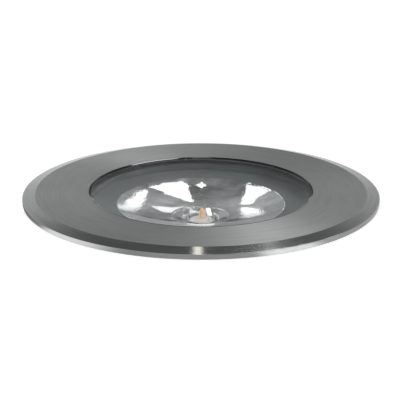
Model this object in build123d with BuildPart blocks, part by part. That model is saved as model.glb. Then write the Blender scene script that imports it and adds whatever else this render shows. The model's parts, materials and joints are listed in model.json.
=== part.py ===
from build123d import *
from math import cos, pi
import os

# In-ground well light. A plastic sleeve is cast into the ground, and a cast lamp housing hangs in
# it by its flange. The glass frame closes the housing, and a bevelled steel ring trims the top.
# The origin is at the middle of the sleeve's underside, with +Z up. A depth is measured down from
# the flat top of the trim ring, and a radius from the vertical axis. Sizes are in millimetres.

# Whole light
overall_height = 285.0
slide_gap = 0.3          # between solids that lift past each other
seat_gap = 0.1           # under a part that rests on another body
thread_gap = 0.1         # round a screw or a threaded neck in its own body

# Trim ring
glass_cover = 3.5        # how far the ring's lip covers the glass
bevel_width = 9.4
bevel_drop = 2.2
rim_height = 3.6
rim_band = 14.0          # solid outer band under the bevel
band_clearance = 2.7     # between the band and the clips
ring_plate = 2.6         # thickness of the flat
lip_plate = 1.2          # thickness of the inner lip
lip_width = 5.5
lip_round = 0.7
trim_seal_inset = 5.0    # from the ring's edge to the seal
trim_seal_width = 5.8
trim_seal_depth = 1.5

# Spring clips under the trim ring
clip_count = 4
clip_width = 12.0
clip_sheet = 0.8
clip_tab = 10.0
clip_leg = 8.6
clip_flare = 1.7

# Glass and its seal
glass_radius = 84.0
glass_thickness = 12.0
glass_ledge = 4.0        # how far the frame reaches under the glass
glass_bevel = 0.6
seal_leg = 0.7           # over and under the glass
seal_wall = 1.0          # round the edge of the glass

# Glass frame
frame_band = 18.0        # from the pocket of the glass to the frame's edge
frame_height = 12.1
frame_neck_wall = 6.0
frame_neck = 3.9
frame_chamfer = 0.8

# Screws of the glass frame
frame_screw_count = 6
frame_screw_inset = 6.0  # from the frame's edge
frame_screw_head = 4.25
frame_screw_head_height = 5.0
frame_screw_radius = 2.5
frame_screw_length = 20.0
frame_screw_socket = 4.0
frame_counterbore_depth = 6.6
washer_thickness = 1.0

# Lamp housing
flange_margin = 10.5     # from the frame's edge to the edge of the flange
flange_thickness = 6.0
neck_clearance = 0.6     # round the glass frame's neck
housing_wall = 4.0
housing_draft = 3.2      # the wall leans in by this much at the floor
housing_depth = 200.0    # from the flange's top to the underside of the floor
housing_round = 3.0
fin_count = 24
fin_reach = 5.0
fin_thickness = 2.5
fin_end = 12.0           # from the underside of the floor to the fins
fin_end_reach = 1.7      # how far a fin stands out at its lower end
screw_boss_radius = 5.0
screw_boss_height = 12.0
housing_seal_radius = 1.25
housing_seal_inset = 4.0  # from the housing's mouth

# Screws that hold the housing down in the sleeve
hold_screw_count = 3
hold_screw_inset = 5.2   # from the flange's edge
hold_screw_head = 3.9
hold_screw_head_height = 3.2
hold_screw_radius = 2.2
hold_screw_length = 18.0
hold_screw_socket = 3.0
hold_screw_turn = 90.0

# Optic plate, the flat ledge round the reflector
plate_ledge = 24.1
plate_thickness = 1.5
plate_screw_count = 3
plate_screw_inset = 3.2
plate_screw_head = 2.75
plate_screw_radius = 1.4
plate_screw_length = 9.0
plate_screw_turn = 90.0
plate_boss_radius = 4.5
plate_boss_height = 40.0

# Reflector
reflector_inset = 0.9    # from the plate's inner edge to the bright side
reflector_neck_radius = 20.0
reflector_drop = 9.6     # from the rim to the neck
reflector_sheet = 0.8
reflector_flats = 48
reflector_rings = 6
reflector_flange = 1.5
reflector_bead = 0.6     # the rolled rim stands this far above the ledge
cup_depth = 2.4          # flat cup inside the neck
collar_radius = 10.8
collar_length = 5.8

# Capsule lamp
envelope_radius = 9.0
envelope_wall = 0.9
envelope_gap = 3.0       # from the glass to the top of the envelope
burner_radius = 2.9
burner_length = 8.0
burner_round = 1.7
burner_drop = 6.2        # from the top of the envelope to the burner
lamp_base_radius = 9.8
lamp_base_drop = 1.8     # from the cup's floor to the top of the base
lamp_base_height = 17.0
lamp_base_chamfer = 0.5
lamp_socket_depth = 2.0
lamp_lead_radius = 0.45
lamp_lead_offset = 5.4
lamp_tip_radius = 0.9
lamp_tip_length = 2.4
pin_radius = 1.2
pin_spacing = 8.5
pin_length = 11.0

# Lampholder
holder_radius = 14.0
holder_height = 26.0
holder_chamfer = 1.0
holder_ear_length = 52.0
holder_ear_width = 13.0
holder_ear_height = 5.0
holder_screw_spacing = 40.0
small_screw_head = 2.8
small_screw_head_height = 2.0
small_screw_radius = 1.5
small_screw_length = 6.0

# Bridge that carries the lampholder
bridge_gap = 4.6         # from each end of the bridge to the housing
bridge_width = 22.0
bridge_sheet = 1.5
bridge_flange = 8.0
bridge_flange_length = 130.0
bridge_hole_length = 18.0
bridge_hole_width = 9.0
bridge_screw_inset = 5.5  # from each end of the bridge
lug_reach = 13.0         # from the housing's wall inwards
lug_width = 24.0
lug_height = 12.0
medium_screw_head = 3.6
medium_screw_head_height = 2.6
medium_screw_radius = 2.0
medium_screw_length = 9.0

# Control gear
tray_gap = 2.4           # round the tray
tray_sheet = 1.5
tray_stand = 6.0         # bosses under the tray
tray_boss_radius = 5.0
tray_screw_count = 3
tray_screw_inset = 9.0
tray_screw_turn = 60.0
ballast_margin = 11.0    # from the tray's edge to the end of the ballast
ballast_length = 62.0
ballast_width = 52.0
ballast_height = 78.0
ballast_foot = 4.0
ballast_foot_length = 12.4
ballast_foot_spacing = 37.0
coil_bulge = 9.0
coil_length = 34.0
coil_height = 54.0
coil_round = 8.5
coil_taper = 8.0         # degrees
can_place = 31.0
capacitor_radius = 16.0
capacitor_height = 66.0
ignitor_radius = 14.0
ignitor_height = 52.0
can_round = 2.0
terminal_margin = 10.0   # from the tray's edge to the terminal block
terminal_length = 40.0
terminal_width = 18.0
terminal_height = 17.0
terminal_chamfer = 3.6
terminal_well = 8.5      # from the top of the block to the floor of a screw well
terminal_hole_height = 5.6
terminal_ways = 4
terminal_hole_radius = 2.2
terminal_screw_radius = 1.9
terminal_screw_height = 2.1
wire_radius = 1.3
wire_spacing = 7.0
wire_bend = 12.0
wire_turn_depth = 120.0
wire_rise = 14.0

# Cable glands in the floor of the housing
gland_place = 50.0
gland_thread_radius = 10.0
gland_bore = 5.6
gland_hex = 24.0
gland_flange = 5.0
gland_collar = 8.0
gland_nut_length = 17.0
gland_nut_chamfer = 2.0
gland_seal_radius = 8.0
locknut_height = 5.0
gland_clearance = 15.0

# Ground sleeve
sleeve_wall = 3.5
sleeve_draft = 5.0
sleeve_flange_reach = 8.0  # from the neck to the edge of the flange
sleeve_flange = 4.0
sleeve_neck_wall = 3.9
shoulder_reach = 6.0     # from the housing's flange in to the outside of the sleeve
shoulder_thickness = 4.0
rib_count = 12
rib_reach = 6.0
rib_thickness = 3.0
anchor_ring_reach = 16.5
anchor_ring_height = 120.0
anchor_ring_thickness = 4.0
hold_boss_radius = 5.0
hold_boss_height = 16.0
entry_height = 31.0
entry_radius = 15.0
entry_bore = 10.1
entry_socket = 16.5      # how far the conduit sockets stand out
plug_flange_radius = 13.0
plug_flange = 3.0
plug_length = 14.0

# Base of the sleeve
base_thickness = 5.0
base_margin = 10.5       # from the sleeve to the edge of the base
drain_radius = 30.0
drain_slot_count = 6
drain_slot_circle = 62.0
drain_slot_length = 24.0
drain_slot_width = 8.0
register_height = 3.0
register_wall = 3.0
lug_count = 4
anchor_reach = 6.0       # from the edge of the base to the anchor holes
anchor_hole = 3.5
anchor_lug_radius = 8.0
base_screw_count = 6
base_screw_head = 3.8
base_screw_head_height = 2.4
base_screw_radius = 1.9
base_screw_length = 14.0
base_screw_turn = 30.0
base_boss_radius = 5.5
base_boss_height = 18.0

# Depths below the flat top of the ring, from the top of the light to its floor
rim_depth = bevel_drop + rim_height
glass_seal_top = lip_plate + seat_gap
glass_top = glass_seal_top + seal_leg
glass_bottom = glass_top + glass_thickness
seal_bottom = glass_bottom + seal_leg
frame_top = ring_plate + slide_gap
frame_bottom = frame_top + frame_height
neck_bottom = frame_bottom + frame_neck
flange_top = frame_bottom + seat_gap
flange_bottom = flange_top + flange_thickness
plate_top = neck_bottom + slide_gap
plate_bottom = plate_top + plate_thickness
reflector_neck_depth = plate_top + reflector_drop
cup_floor = reflector_neck_depth + cup_depth
envelope_top = glass_bottom + envelope_gap
burner_top = envelope_top + burner_drop
burner_bottom = burner_top + burner_length
base_top = cup_floor + lamp_base_drop
base_bottom = base_top + lamp_base_height
holder_top = base_bottom
holder_bottom = holder_top + holder_height
bridge_bottom = holder_bottom + bridge_sheet
housing_bottom = flange_top + housing_depth
floor_top = housing_bottom - housing_wall
tray_bottom = floor_top - tray_stand
tray_top = tray_bottom - tray_sheet
sleeve_top = rim_depth + slide_gap
shoulder_top = flange_bottom + seat_gap
shoulder_bottom = shoulder_top + shoulder_thickness
sleeve_bottom = overall_height - base_thickness
frame_head_depth = frame_top + frame_counterbore_depth

# Radii that follow from the pieces they go round, from the glass outwards
opening_radius = glass_radius - glass_cover
frame_wall_radius = glass_radius - glass_ledge
frame_pocket_radius = glass_radius + seal_wall
frame_radius = frame_pocket_radius + frame_band
frame_screw_circle = frame_radius - frame_screw_inset
frame_neck_radius = frame_wall_radius + frame_neck_wall
clip_face = frame_radius + slide_gap
rim_band_radius = clip_face + clip_tab + band_clearance
ring_radius = rim_band_radius + rim_band
trim_seal_outer = ring_radius - trim_seal_inset
trim_seal_inner = trim_seal_outer - trim_seal_width
flange_radius = frame_radius + flange_margin
hold_screw_circle = flange_radius - hold_screw_inset
housing_inner_radius = frame_neck_radius + neck_clearance
housing_outer_radius = housing_inner_radius + housing_wall
housing_seal_circle = housing_inner_radius + housing_seal_inset
floor_radius = housing_inner_radius - housing_draft
floor_outer_radius = floor_radius + housing_wall
plate_radius = housing_inner_radius - neck_clearance
plate_inner_radius = plate_radius - plate_ledge
plate_screw_circle = plate_radius - plate_screw_inset
reflector_radius = plate_inner_radius - reflector_inset
bridge_length = 2 * (housing_inner_radius - bridge_gap)
bridge_screw_circle = bridge_length / 2 - bridge_screw_inset
tray_radius = floor_radius - tray_gap
tray_screw_circle = tray_radius - tray_screw_inset
ballast_place = ballast_margin + ballast_length / 2 - tray_radius
terminal_place = tray_radius - terminal_margin - terminal_width / 2
sleeve_recess_radius = flange_radius + 2 * slide_gap
sleeve_neck_radius = sleeve_recess_radius + sleeve_neck_wall
sleeve_flange_radius = sleeve_neck_radius + sleeve_flange_reach
sleeve_radius = flange_radius - shoulder_reach
sleeve_inner_radius = sleeve_radius - sleeve_wall
sleeve_bottom_radius = sleeve_radius - sleeve_draft
anchor_ring_radius = sleeve_bottom_radius + anchor_ring_reach
entry_reach = sleeve_bottom_radius + entry_socket
base_screw_circle = sleeve_bottom_radius - sleeve_wall / 2
register_radius = base_screw_circle - base_boss_radius - slide_gap
base_radius = sleeve_bottom_radius + base_margin
anchor_circle = base_radius + anchor_reach


def up(depth):
    """Height above the sleeve's underside of a place at this depth."""
    return overall_height - depth


def level(depth):
    """Horizontal plane at this depth."""
    return Plane.XY.offset(up(depth))


def section(*points):
    """Closed outline through the axis; each point is a radius and a depth."""
    with BuildSketch(Plane.XZ) as outline:
        with BuildLine():
            Polyline(*[(radius, up(depth)) for radius, depth in points], close=True)
        make_face()
    return outline.sketch


def socket_screw(head_radius, head_height, shank_radius, length, socket):
    """Socket screw with the underside of its head on the XY plane and its shank below."""
    with BuildPart() as screw:
        with BuildSketch():
            Circle(head_radius)
        extrude(amount=head_height)
        chamfer(screw.edges().sort_by(Axis.Z)[-1], head_height / 10)
        with BuildSketch(Plane.XY.offset(head_height)):
            RegularPolygon(socket / 2, 6, major_radius=False)
        extrude(amount=-head_height / 2, mode=Mode.SUBTRACT)
        with BuildSketch():
            Circle(shank_radius)
        extrude(amount=-length)
    return screw.part


def slotted_screw(head_radius, head_height, shank_radius, length):
    """Pan-head screw with the underside of its head on the XY plane and its shank below."""
    with BuildPart() as screw:
        with BuildSketch():
            Circle(head_radius)
        extrude(amount=head_height)
        fillet(screw.edges().sort_by(Axis.Z)[-1], head_height / 3)
        with BuildSketch(Plane.XY.offset(head_height)):
            Rectangle(2 * head_radius, head_radius / 4)
        extrude(amount=-head_height / 2, mode=Mode.SUBTRACT)
        with BuildSketch():
            Circle(shank_radius)
        extrude(amount=-length)
    return screw.part


# ---- Trim ring -------------------------------------------------------------------------------

with BuildPart() as trim_ring:
    revolve(section(
        (opening_radius, 0),
        (ring_radius - bevel_width, 0),
        (ring_radius, bevel_drop),
        (ring_radius, rim_depth),
        (trim_seal_outer, rim_depth),
        (trim_seal_outer, rim_depth - trim_seal_depth),
        (trim_seal_inner, rim_depth - trim_seal_depth),
        (trim_seal_inner, rim_depth),
        (rim_band_radius, rim_depth),
        (rim_band_radius, ring_plate),
        (opening_radius + lip_width, ring_plate),
        (opening_radius + lip_width, lip_plate),
        (opening_radius, lip_plate),
    ), axis=Axis.Z)
    fillet(trim_ring.faces().sort_by(Axis.Z)[-1].inner_wires()[0].edges(), lip_round)
trim_ring.part.label = "trim_ring"

# The seal fills the groove under the band and meets the flange of the sleeve.
with BuildPart() as trim_seal:
    revolve(section(
        (trim_seal_inner, rim_depth - trim_seal_depth),
        (trim_seal_outer, rim_depth - trim_seal_depth),
        (trim_seal_outer, sleeve_top - seat_gap),
        (trim_seal_inner, sleeve_top - seat_gap),
    ), axis=Axis.Z)
trim_seal.part.label = "trim_seal"

# Each clip is a bent strip: a tab under the flat, and a leg that grips the frame's edge.
with BuildPart() as trim_clip:
    extrude(section(
        (clip_face, ring_plate),
        (clip_face + clip_tab, ring_plate),
        (clip_face + clip_tab, ring_plate + clip_sheet),
        (clip_face + clip_sheet, ring_plate + clip_sheet),
        (clip_face + clip_sheet, ring_plate + clip_leg),
        (clip_face + clip_sheet + clip_flare, ring_plate + clip_leg + clip_flare),
        (clip_face + clip_flare, ring_plate + clip_leg + clip_flare),
        (clip_face, ring_plate + clip_leg),
    ), amount=clip_width / 2, both=True)

with BuildPart() as trim_clips:
    with PolarLocations(0, clip_count, start_angle=180 / clip_count):
        add(trim_clip.part)
trim_clips.part.label = "trim_clips"


# ---- Glass and its frame ---------------------------------------------------------------------

with BuildPart() as cover_glass:
    with BuildSketch(level(glass_top)):
        Circle(glass_radius)
    extrude(amount=-glass_thickness)
    chamfer(cover_glass.edges().filter_by(GeomType.CIRCLE), glass_bevel)
cover_glass.part.label = "cover_glass"

# U-shaped seal round the edge of the glass
with BuildPart() as glass_seal:
    revolve(section(
        (opening_radius, glass_seal_top),
        (frame_pocket_radius, glass_seal_top),
        (frame_pocket_radius, seal_bottom),
        (frame_wall_radius, seal_bottom),
        (frame_wall_radius, glass_bottom),
        (glass_radius, glass_bottom),
        (glass_radius, glass_top),
        (opening_radius, glass_top),
    ), axis=Axis.Z)
glass_seal.part.label = "glass_seal"

with BuildPart() as glass_frame:
    revolve(section(
        (frame_pocket_radius, frame_top),
        (frame_radius, frame_top),
        (frame_radius, frame_bottom),
        (frame_neck_radius, frame_bottom),
        (frame_neck_radius, neck_bottom),
        (frame_wall_radius, neck_bottom),
        (frame_wall_radius, seal_bottom),
        (frame_pocket_radius, seal_bottom),
    ), axis=Axis.Z)
    chamfer(glass_frame.faces().sort_by(Axis.Z)[-1].outer_wire().edges(), frame_chamfer)
    with BuildSketch(level(frame_top)):
        with PolarLocations(frame_screw_circle, frame_screw_count):
            Circle(frame_screw_head + slide_gap)
    extrude(amount=-frame_counterbore_depth, mode=Mode.SUBTRACT)
    with BuildSketch(level(frame_top)):
        with PolarLocations(frame_screw_circle, frame_screw_count):
            Circle(frame_screw_radius + slide_gap)
    extrude(amount=-frame_height, mode=Mode.SUBTRACT)
glass_frame.part.label = "glass_frame"

with BuildPart() as frame_washers:
    with BuildSketch(level(frame_head_depth)):
        with PolarLocations(frame_screw_circle, frame_screw_count):
            Circle(frame_screw_head)
            Circle(frame_screw_radius + slide_gap / 2, mode=Mode.SUBTRACT)
    extrude(amount=washer_thickness)
frame_washers.part.label = "frame_washers"

frame_screw = socket_screw(
    frame_screw_head, frame_screw_head_height, frame_screw_radius, frame_screw_length, frame_screw_socket
)
with BuildPart(level(frame_head_depth - washer_thickness)) as frame_screws:
    with PolarLocations(frame_screw_circle, frame_screw_count):
        add(frame_screw)
frame_screws.part.label = "frame_screws"


# ---- Lamp housing ----------------------------------------------------------------------------

frame_hole_end = frame_head_depth - washer_thickness + frame_screw_length + slide_gap

with BuildPart() as fin:
    extrude(section(
        (floor_radius + housing_wall / 2, housing_bottom - fin_end),
        (floor_outer_radius + fin_end_reach, housing_bottom - fin_end),
        (housing_outer_radius + fin_reach, flange_bottom),
        (housing_outer_radius - housing_wall / 2, flange_bottom),
    ), amount=fin_thickness / 2, both=True)

# Bracket lug on the inside of the wall, with a sloping underside for the mould
with BuildPart() as bridge_lug:
    extrude(section(
        (housing_inner_radius - lug_reach, bridge_bottom),
        (housing_inner_radius + housing_wall / 2, bridge_bottom),
        (housing_inner_radius, bridge_bottom + lug_height + lug_reach),
        (housing_inner_radius - lug_reach, bridge_bottom + lug_height),
    ), amount=lug_width / 2, both=True)

with BuildPart() as lamp_housing:
    revolve(section(
        (0, housing_bottom),
        (floor_outer_radius, housing_bottom),
        (housing_outer_radius, flange_bottom),
        (flange_radius, flange_bottom),
        (flange_radius, flange_top),
        (housing_inner_radius, flange_top),
        (floor_radius, floor_top),
        (0, floor_top),
    ), axis=Axis.Z)
    fillet(lamp_housing.faces().sort_by(Axis.Z)[0].outer_wire().edges(), housing_round)
    with PolarLocations(0, fin_count, start_angle=180 / fin_count):
        add(fin.part)
    with PolarLocations(0, 2):
        add(bridge_lug.part)
    # Bosses for the screws of the glass frame, under the flange
    with BuildSketch(level(flange_bottom)):
        with PolarLocations(frame_screw_circle, frame_screw_count):
            Circle(screw_boss_radius)
    extrude(amount=-screw_boss_height)
    # Columns inside the wall that carry the optic plate
    with BuildSketch(level(plate_bottom)):
        with PolarLocations(plate_screw_circle, plate_screw_count, start_angle=plate_screw_turn):
            Circle(plate_boss_radius)
    extrude(amount=-plate_boss_height)
    # Bosses on the floor that carry the gear tray
    with BuildSketch(level(tray_bottom)):
        with PolarLocations(tray_screw_circle, tray_screw_count, start_angle=tray_screw_turn):
            Circle(tray_boss_radius)
    extrude(amount=-tray_stand)
    # Holes for the frame screws, the hold-down screws, the plate, the bridge and the tray
    with BuildSketch(level(flange_top)):
        with PolarLocations(frame_screw_circle, frame_screw_count):
            Circle(frame_screw_radius + slide_gap)
    extrude(amount=flange_top - frame_hole_end, mode=Mode.SUBTRACT)
    with BuildSketch(level(flange_top)):
        with PolarLocations(hold_screw_circle, hold_screw_count, start_angle=hold_screw_turn):
            Circle(hold_screw_radius + slide_gap)
    extrude(amount=-flange_thickness, mode=Mode.SUBTRACT)
    with BuildSketch(level(plate_bottom)):
        with PolarLocations(plate_screw_circle, plate_screw_count, start_angle=plate_screw_turn):
            Circle(plate_screw_radius + thread_gap)
    extrude(amount=-plate_screw_length, mode=Mode.SUBTRACT)
    with BuildSketch(level(bridge_bottom)):
        with PolarLocations(bridge_screw_circle, 2):
            Circle(medium_screw_radius + thread_gap)
    extrude(amount=-medium_screw_length, mode=Mode.SUBTRACT)
    with BuildSketch(level(tray_bottom)):
        with PolarLocations(tray_screw_circle, tray_screw_count, start_angle=tray_screw_turn):
            Circle(medium_screw_radius + thread_gap)
    extrude(amount=-tray_stand, mode=Mode.SUBTRACT)
    with BuildSketch(level(floor_top)):
        with PolarLocations(gland_place, 2, start_angle=90):
            Circle(gland_thread_radius + thread_gap)
    extrude(amount=-housing_wall, mode=Mode.SUBTRACT)
    # Groove for the housing seal
    revolve(section(
        (housing_seal_circle - housing_seal_radius, flange_top),
        (housing_seal_circle + housing_seal_radius, flange_top),
        (housing_seal_circle + housing_seal_radius, flange_top + 2 * housing_seal_radius - seat_gap),
        (housing_seal_circle - housing_seal_radius, flange_top + 2 * housing_seal_radius - seat_gap),
    ), axis=Axis.Z, mode=Mode.SUBTRACT)
lamp_housing.part.label = "lamp_housing"

with BuildPart() as housing_seal:
    with BuildSketch(Plane.XZ):
        with Locations((housing_seal_circle, up(flange_top - seat_gap + housing_seal_radius))):
            Circle(housing_seal_radius)
    revolve(axis=Axis.Z)
housing_seal.part.label = "housing_seal"

hold_screw = socket_screw(
    hold_screw_head, hold_screw_head_height, hold_screw_radius, hold_screw_length, hold_screw_socket
)
with BuildPart(level(flange_top)) as hold_screws:
    with PolarLocations(hold_screw_circle, hold_screw_count, start_angle=hold_screw_turn):
        add(hold_screw)
hold_screws.part.label = "hold_screws"


# ---- Optic plate and reflector ---------------------------------------------------------------

with BuildPart() as optic_plate:
    with BuildSketch(level(plate_bottom)):
        Circle(plate_radius)
        Circle(plate_inner_radius, mode=Mode.SUBTRACT)
        with PolarLocations(plate_screw_circle, plate_screw_count, start_angle=plate_screw_turn):
            Circle(plate_screw_radius + thread_gap, mode=Mode.SUBTRACT)
    extrude(amount=plate_thickness)
    with BuildSketch(level(plate_top)):
        with PolarLocations(plate_screw_circle, plate_screw_count, start_angle=plate_screw_turn):
            Circle(plate_screw_head)
    extrude(amount=-(plate_screw_head - plate_screw_radius), taper=45, mode=Mode.SUBTRACT)
optic_plate.part.label = "optic_plate"

# Countersunk screws, flush with the plate
with BuildPart() as plate_screw:
    with BuildSketch():
        Circle(plate_screw_head - thread_gap)
    extrude(amount=-(plate_screw_head - plate_screw_radius), taper=45)
    with BuildSketch():
        Circle(plate_screw_radius)
    extrude(amount=-plate_screw_length)
    with BuildSketch():
        Rectangle(2 * plate_screw_radius, plate_screw_radius / 2)
        Rectangle(plate_screw_radius / 2, 2 * plate_screw_radius)
    extrude(amount=-plate_screw_radius / 2, mode=Mode.SUBTRACT)

with BuildPart(level(plate_top)) as plate_screws:
    with PolarLocations(plate_screw_circle, plate_screw_count, start_angle=plate_screw_turn):
        add(plate_screw.part)
plate_screws.part.label = "plate_screws"


def dish_depth(radius):
    """Depth of the reflector's bright side: a parabola from the rim down to the neck."""
    share = (radius**2 - reflector_neck_radius**2) / (reflector_radius**2 - reflector_neck_radius**2)
    return reflector_neck_depth - reflector_drop * share


# Radii of the rings of flat facets, from the rim to the neck
facet_radii = [
    reflector_radius + (reflector_neck_radius - reflector_radius) * ring / reflector_rings
    for ring in range(reflector_rings + 1)
]
facet_corner = 1 / cos(pi / reflector_flats)

# The back of the dish is the bright side lowered by the sheet, so both have the same facets.
with BuildPart() as dish_hollow:
    for facet_radius in facet_radii:
        with BuildSketch(level(dish_depth(facet_radius))):
            RegularPolygon(facet_radius * facet_corner, reflector_flats)
    loft(ruled=True)

with BuildPart() as reflector:
    for facet_radius in facet_radii:
        with BuildSketch(level(dish_depth(facet_radius) + reflector_sheet)):
            RegularPolygon(facet_radius * facet_corner, reflector_flats)
    loft(ruled=True)
    add(dish_hollow.part, mode=Mode.SUBTRACT)
    with BuildSketch(level(cup_floor)):
        Circle(reflector_neck_radius - reflector_sheet / 2)
    extrude(amount=cup_floor - plate_top, mode=Mode.SUBTRACT)
    # Rolled rim that lies on the plate
    revolve(section(
        (reflector_radius - reflector_sheet, plate_top - reflector_bead),
        (plate_inner_radius + reflector_flange, plate_top - reflector_bead),
        (plate_inner_radius + reflector_flange, plate_top),
        (plate_inner_radius - slide_gap, plate_top),
        (plate_inner_radius - slide_gap, plate_top + 2 * reflector_sheet),
        (reflector_radius - reflector_sheet, plate_top + reflector_sheet),
    ), axis=Axis.Z)
    # Flat cup in the neck, with the collar round the lamp
    revolve(section(
        (reflector_neck_radius - reflector_sheet / 2, reflector_neck_depth),
        (reflector_neck_radius + reflector_sheet / 2, reflector_neck_depth),
        (reflector_neck_radius + reflector_sheet / 2, cup_floor + reflector_sheet),
        (collar_radius + reflector_sheet, cup_floor + reflector_sheet),
        (collar_radius + reflector_sheet, cup_floor + collar_length),
        (collar_radius, cup_floor + collar_length),
        (collar_radius, cup_floor),
        (reflector_neck_radius - reflector_sheet / 2, cup_floor),
    ), axis=Axis.Z)
reflector.part.label = "reflector"


# ---- Capsule lamp ----------------------------------------------------------------------------

lamp_base_recess = base_top + lamp_socket_depth
dome_depth = envelope_top + envelope_radius
envelope_bore = envelope_radius - envelope_wall

with BuildPart() as lamp_envelope:
    with BuildSketch(Plane.XZ):
        with BuildLine():
            Line((0, up(envelope_top + envelope_wall)), (0, up(envelope_top)))
            RadiusArc((0, up(envelope_top)), (envelope_radius, up(dome_depth)), envelope_radius)
            Line((envelope_radius, up(dome_depth)), (envelope_radius, up(lamp_base_recess)))
            Line((envelope_radius, up(lamp_base_recess)), (envelope_bore, up(lamp_base_recess)))
            Line((envelope_bore, up(lamp_base_recess)), (envelope_bore, up(dome_depth)))
            RadiusArc((envelope_bore, up(dome_depth)), (0, up(envelope_top + envelope_wall)), -envelope_bore)
        make_face()
    revolve(axis=Axis.Z)
lamp_envelope.part.label = "lamp_envelope"

# Ceramic burner with a narrow tip at each end
with BuildPart() as lamp_burner:
    with BuildSketch(level(burner_bottom)):
        Circle(burner_radius)
    extrude(amount=burner_length)
    fillet(lamp_burner.edges().filter_by(GeomType.CIRCLE), burner_round)
    with BuildSketch(level(burner_bottom + lamp_tip_length)):
        Circle(lamp_tip_radius)
    extrude(amount=burner_length + 2 * lamp_tip_length)
lamp_burner.part.label = "lamp_burner"

# The return lead stands beside the burner and bends over to its upper tip.
lead_top = burner_top - lamp_tip_length - lamp_lead_radius
with BuildPart() as lamp_leads:
    with BuildLine(Plane.XZ) as lead_path:
        FilletPolyline(
            (lamp_lead_offset, up(lamp_base_recess)),
            (lamp_lead_offset, up(lead_top)),
            (0, up(lead_top)),
            radius=3 * lamp_lead_radius,
        )
    with BuildSketch(level(lamp_base_recess)):
        with Locations((lamp_lead_offset, 0)):
            Circle(lamp_lead_radius)
    sweep()
    with BuildSketch(level(lamp_base_recess)):
        Circle(lamp_lead_radius)
    extrude(amount=lamp_base_recess - burner_bottom - lamp_tip_length)
lamp_leads.part.label = "lamp_leads"

with BuildPart() as lamp_base:
    with BuildSketch(level(base_bottom)):
        Circle(lamp_base_radius)
    extrude(amount=lamp_base_height)
    chamfer(lamp_base.edges().filter_by(GeomType.CIRCLE), lamp_base_chamfer)
    with BuildSketch(level(base_top)):
        Circle(envelope_radius + seat_gap)
    extrude(amount=-lamp_socket_depth, mode=Mode.SUBTRACT)
lamp_base.part.label = "lamp_base"

with BuildPart() as lamp_pins:
    with BuildSketch(level(base_bottom)):
        with GridLocations(pin_spacing, 0, 2, 1):
            Circle(pin_radius)
    extrude(amount=-pin_length)
    chamfer(lamp_pins.edges().group_by(Axis.Z)[0], pin_radius / 3)
lamp_pins.part.label = "lamp_pins"

with BuildPart() as lampholder:
    with BuildSketch(level(holder_bottom)):
        Circle(holder_radius)
    extrude(amount=holder_height)
    with BuildSketch(level(holder_bottom)):
        SlotOverall(holder_ear_length, holder_ear_width)
    extrude(amount=holder_ear_height)
    chamfer(lampholder.faces().sort_by(Axis.Z)[-1].edges(), holder_chamfer)
    with BuildSketch(level(holder_top)):
        with GridLocations(pin_spacing, 0, 2, 1):
            Circle(pin_radius + seat_gap)
    extrude(amount=-pin_length - slide_gap, mode=Mode.SUBTRACT)
    with BuildSketch(level(holder_bottom)):
        with GridLocations(holder_screw_spacing, 0, 2, 1):
            Circle(small_screw_radius + thread_gap)
    extrude(amount=holder_ear_height, mode=Mode.SUBTRACT)
lampholder.part.label = "lampholder"

holder_screw = slotted_screw(
    small_screw_head, small_screw_head_height, small_screw_radius, holder_ear_height + small_screw_length
)
with BuildPart(level(holder_bottom - holder_ear_height)) as holder_screws:
    with GridLocations(holder_screw_spacing, 0, 2, 1):
        add(holder_screw)
holder_screws.part.label = "holder_screws"

# Bridge of folded sheet: a strap on the two lugs, with a flange down each long edge
with BuildPart() as holder_bridge:
    with BuildSketch(level(bridge_bottom)):
        SlotOverall(bridge_length, bridge_width)
        with GridLocations(holder_screw_spacing, 0, 2, 1):
            Circle(small_screw_radius + thread_gap, mode=Mode.SUBTRACT)
        with GridLocations(2 * bridge_screw_circle, 0, 2, 1):
            Circle(medium_screw_radius + thread_gap, mode=Mode.SUBTRACT)
        SlotOverall(bridge_hole_length, bridge_hole_width, mode=Mode.SUBTRACT)
    extrude(amount=bridge_sheet)
    with BuildSketch(level(bridge_bottom)):
        with GridLocations(0, bridge_width - bridge_sheet, 1, 2):
            Rectangle(bridge_flange_length, bridge_sheet)
    extrude(amount=-bridge_flange)
holder_bridge.part.label = "holder_bridge"

bridge_screw = slotted_screw(
    medium_screw_head, medium_screw_head_height, medium_screw_radius, bridge_sheet + medium_screw_length
)
with BuildPart(level(bridge_bottom - bridge_sheet)) as bridge_screws:
    with PolarLocations(bridge_screw_circle, 2):
        add(bridge_screw)
bridge_screws.part.label = "bridge_screws"


# ---- Control gear ----------------------------------------------------------------------------

with BuildPart() as gear_tray:
    with BuildSketch(level(tray_bottom)):
        Circle(tray_radius)
        with PolarLocations(gland_place, 2, start_angle=90):
            Circle(gland_clearance, mode=Mode.SUBTRACT)
        with PolarLocations(tray_screw_circle, tray_screw_count, start_angle=tray_screw_turn):
            Circle(medium_screw_radius + thread_gap, mode=Mode.SUBTRACT)
    extrude(amount=tray_sheet)
gear_tray.part.label = "gear_tray"

tray_screw = slotted_screw(
    medium_screw_head, medium_screw_head_height, medium_screw_radius, tray_sheet + tray_stand
)
with BuildPart(level(tray_top)) as tray_screws:
    with PolarLocations(tray_screw_circle, tray_screw_count, start_angle=tray_screw_turn):
        add(tray_screw)
tray_screws.part.label = "tray_screws"

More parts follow.
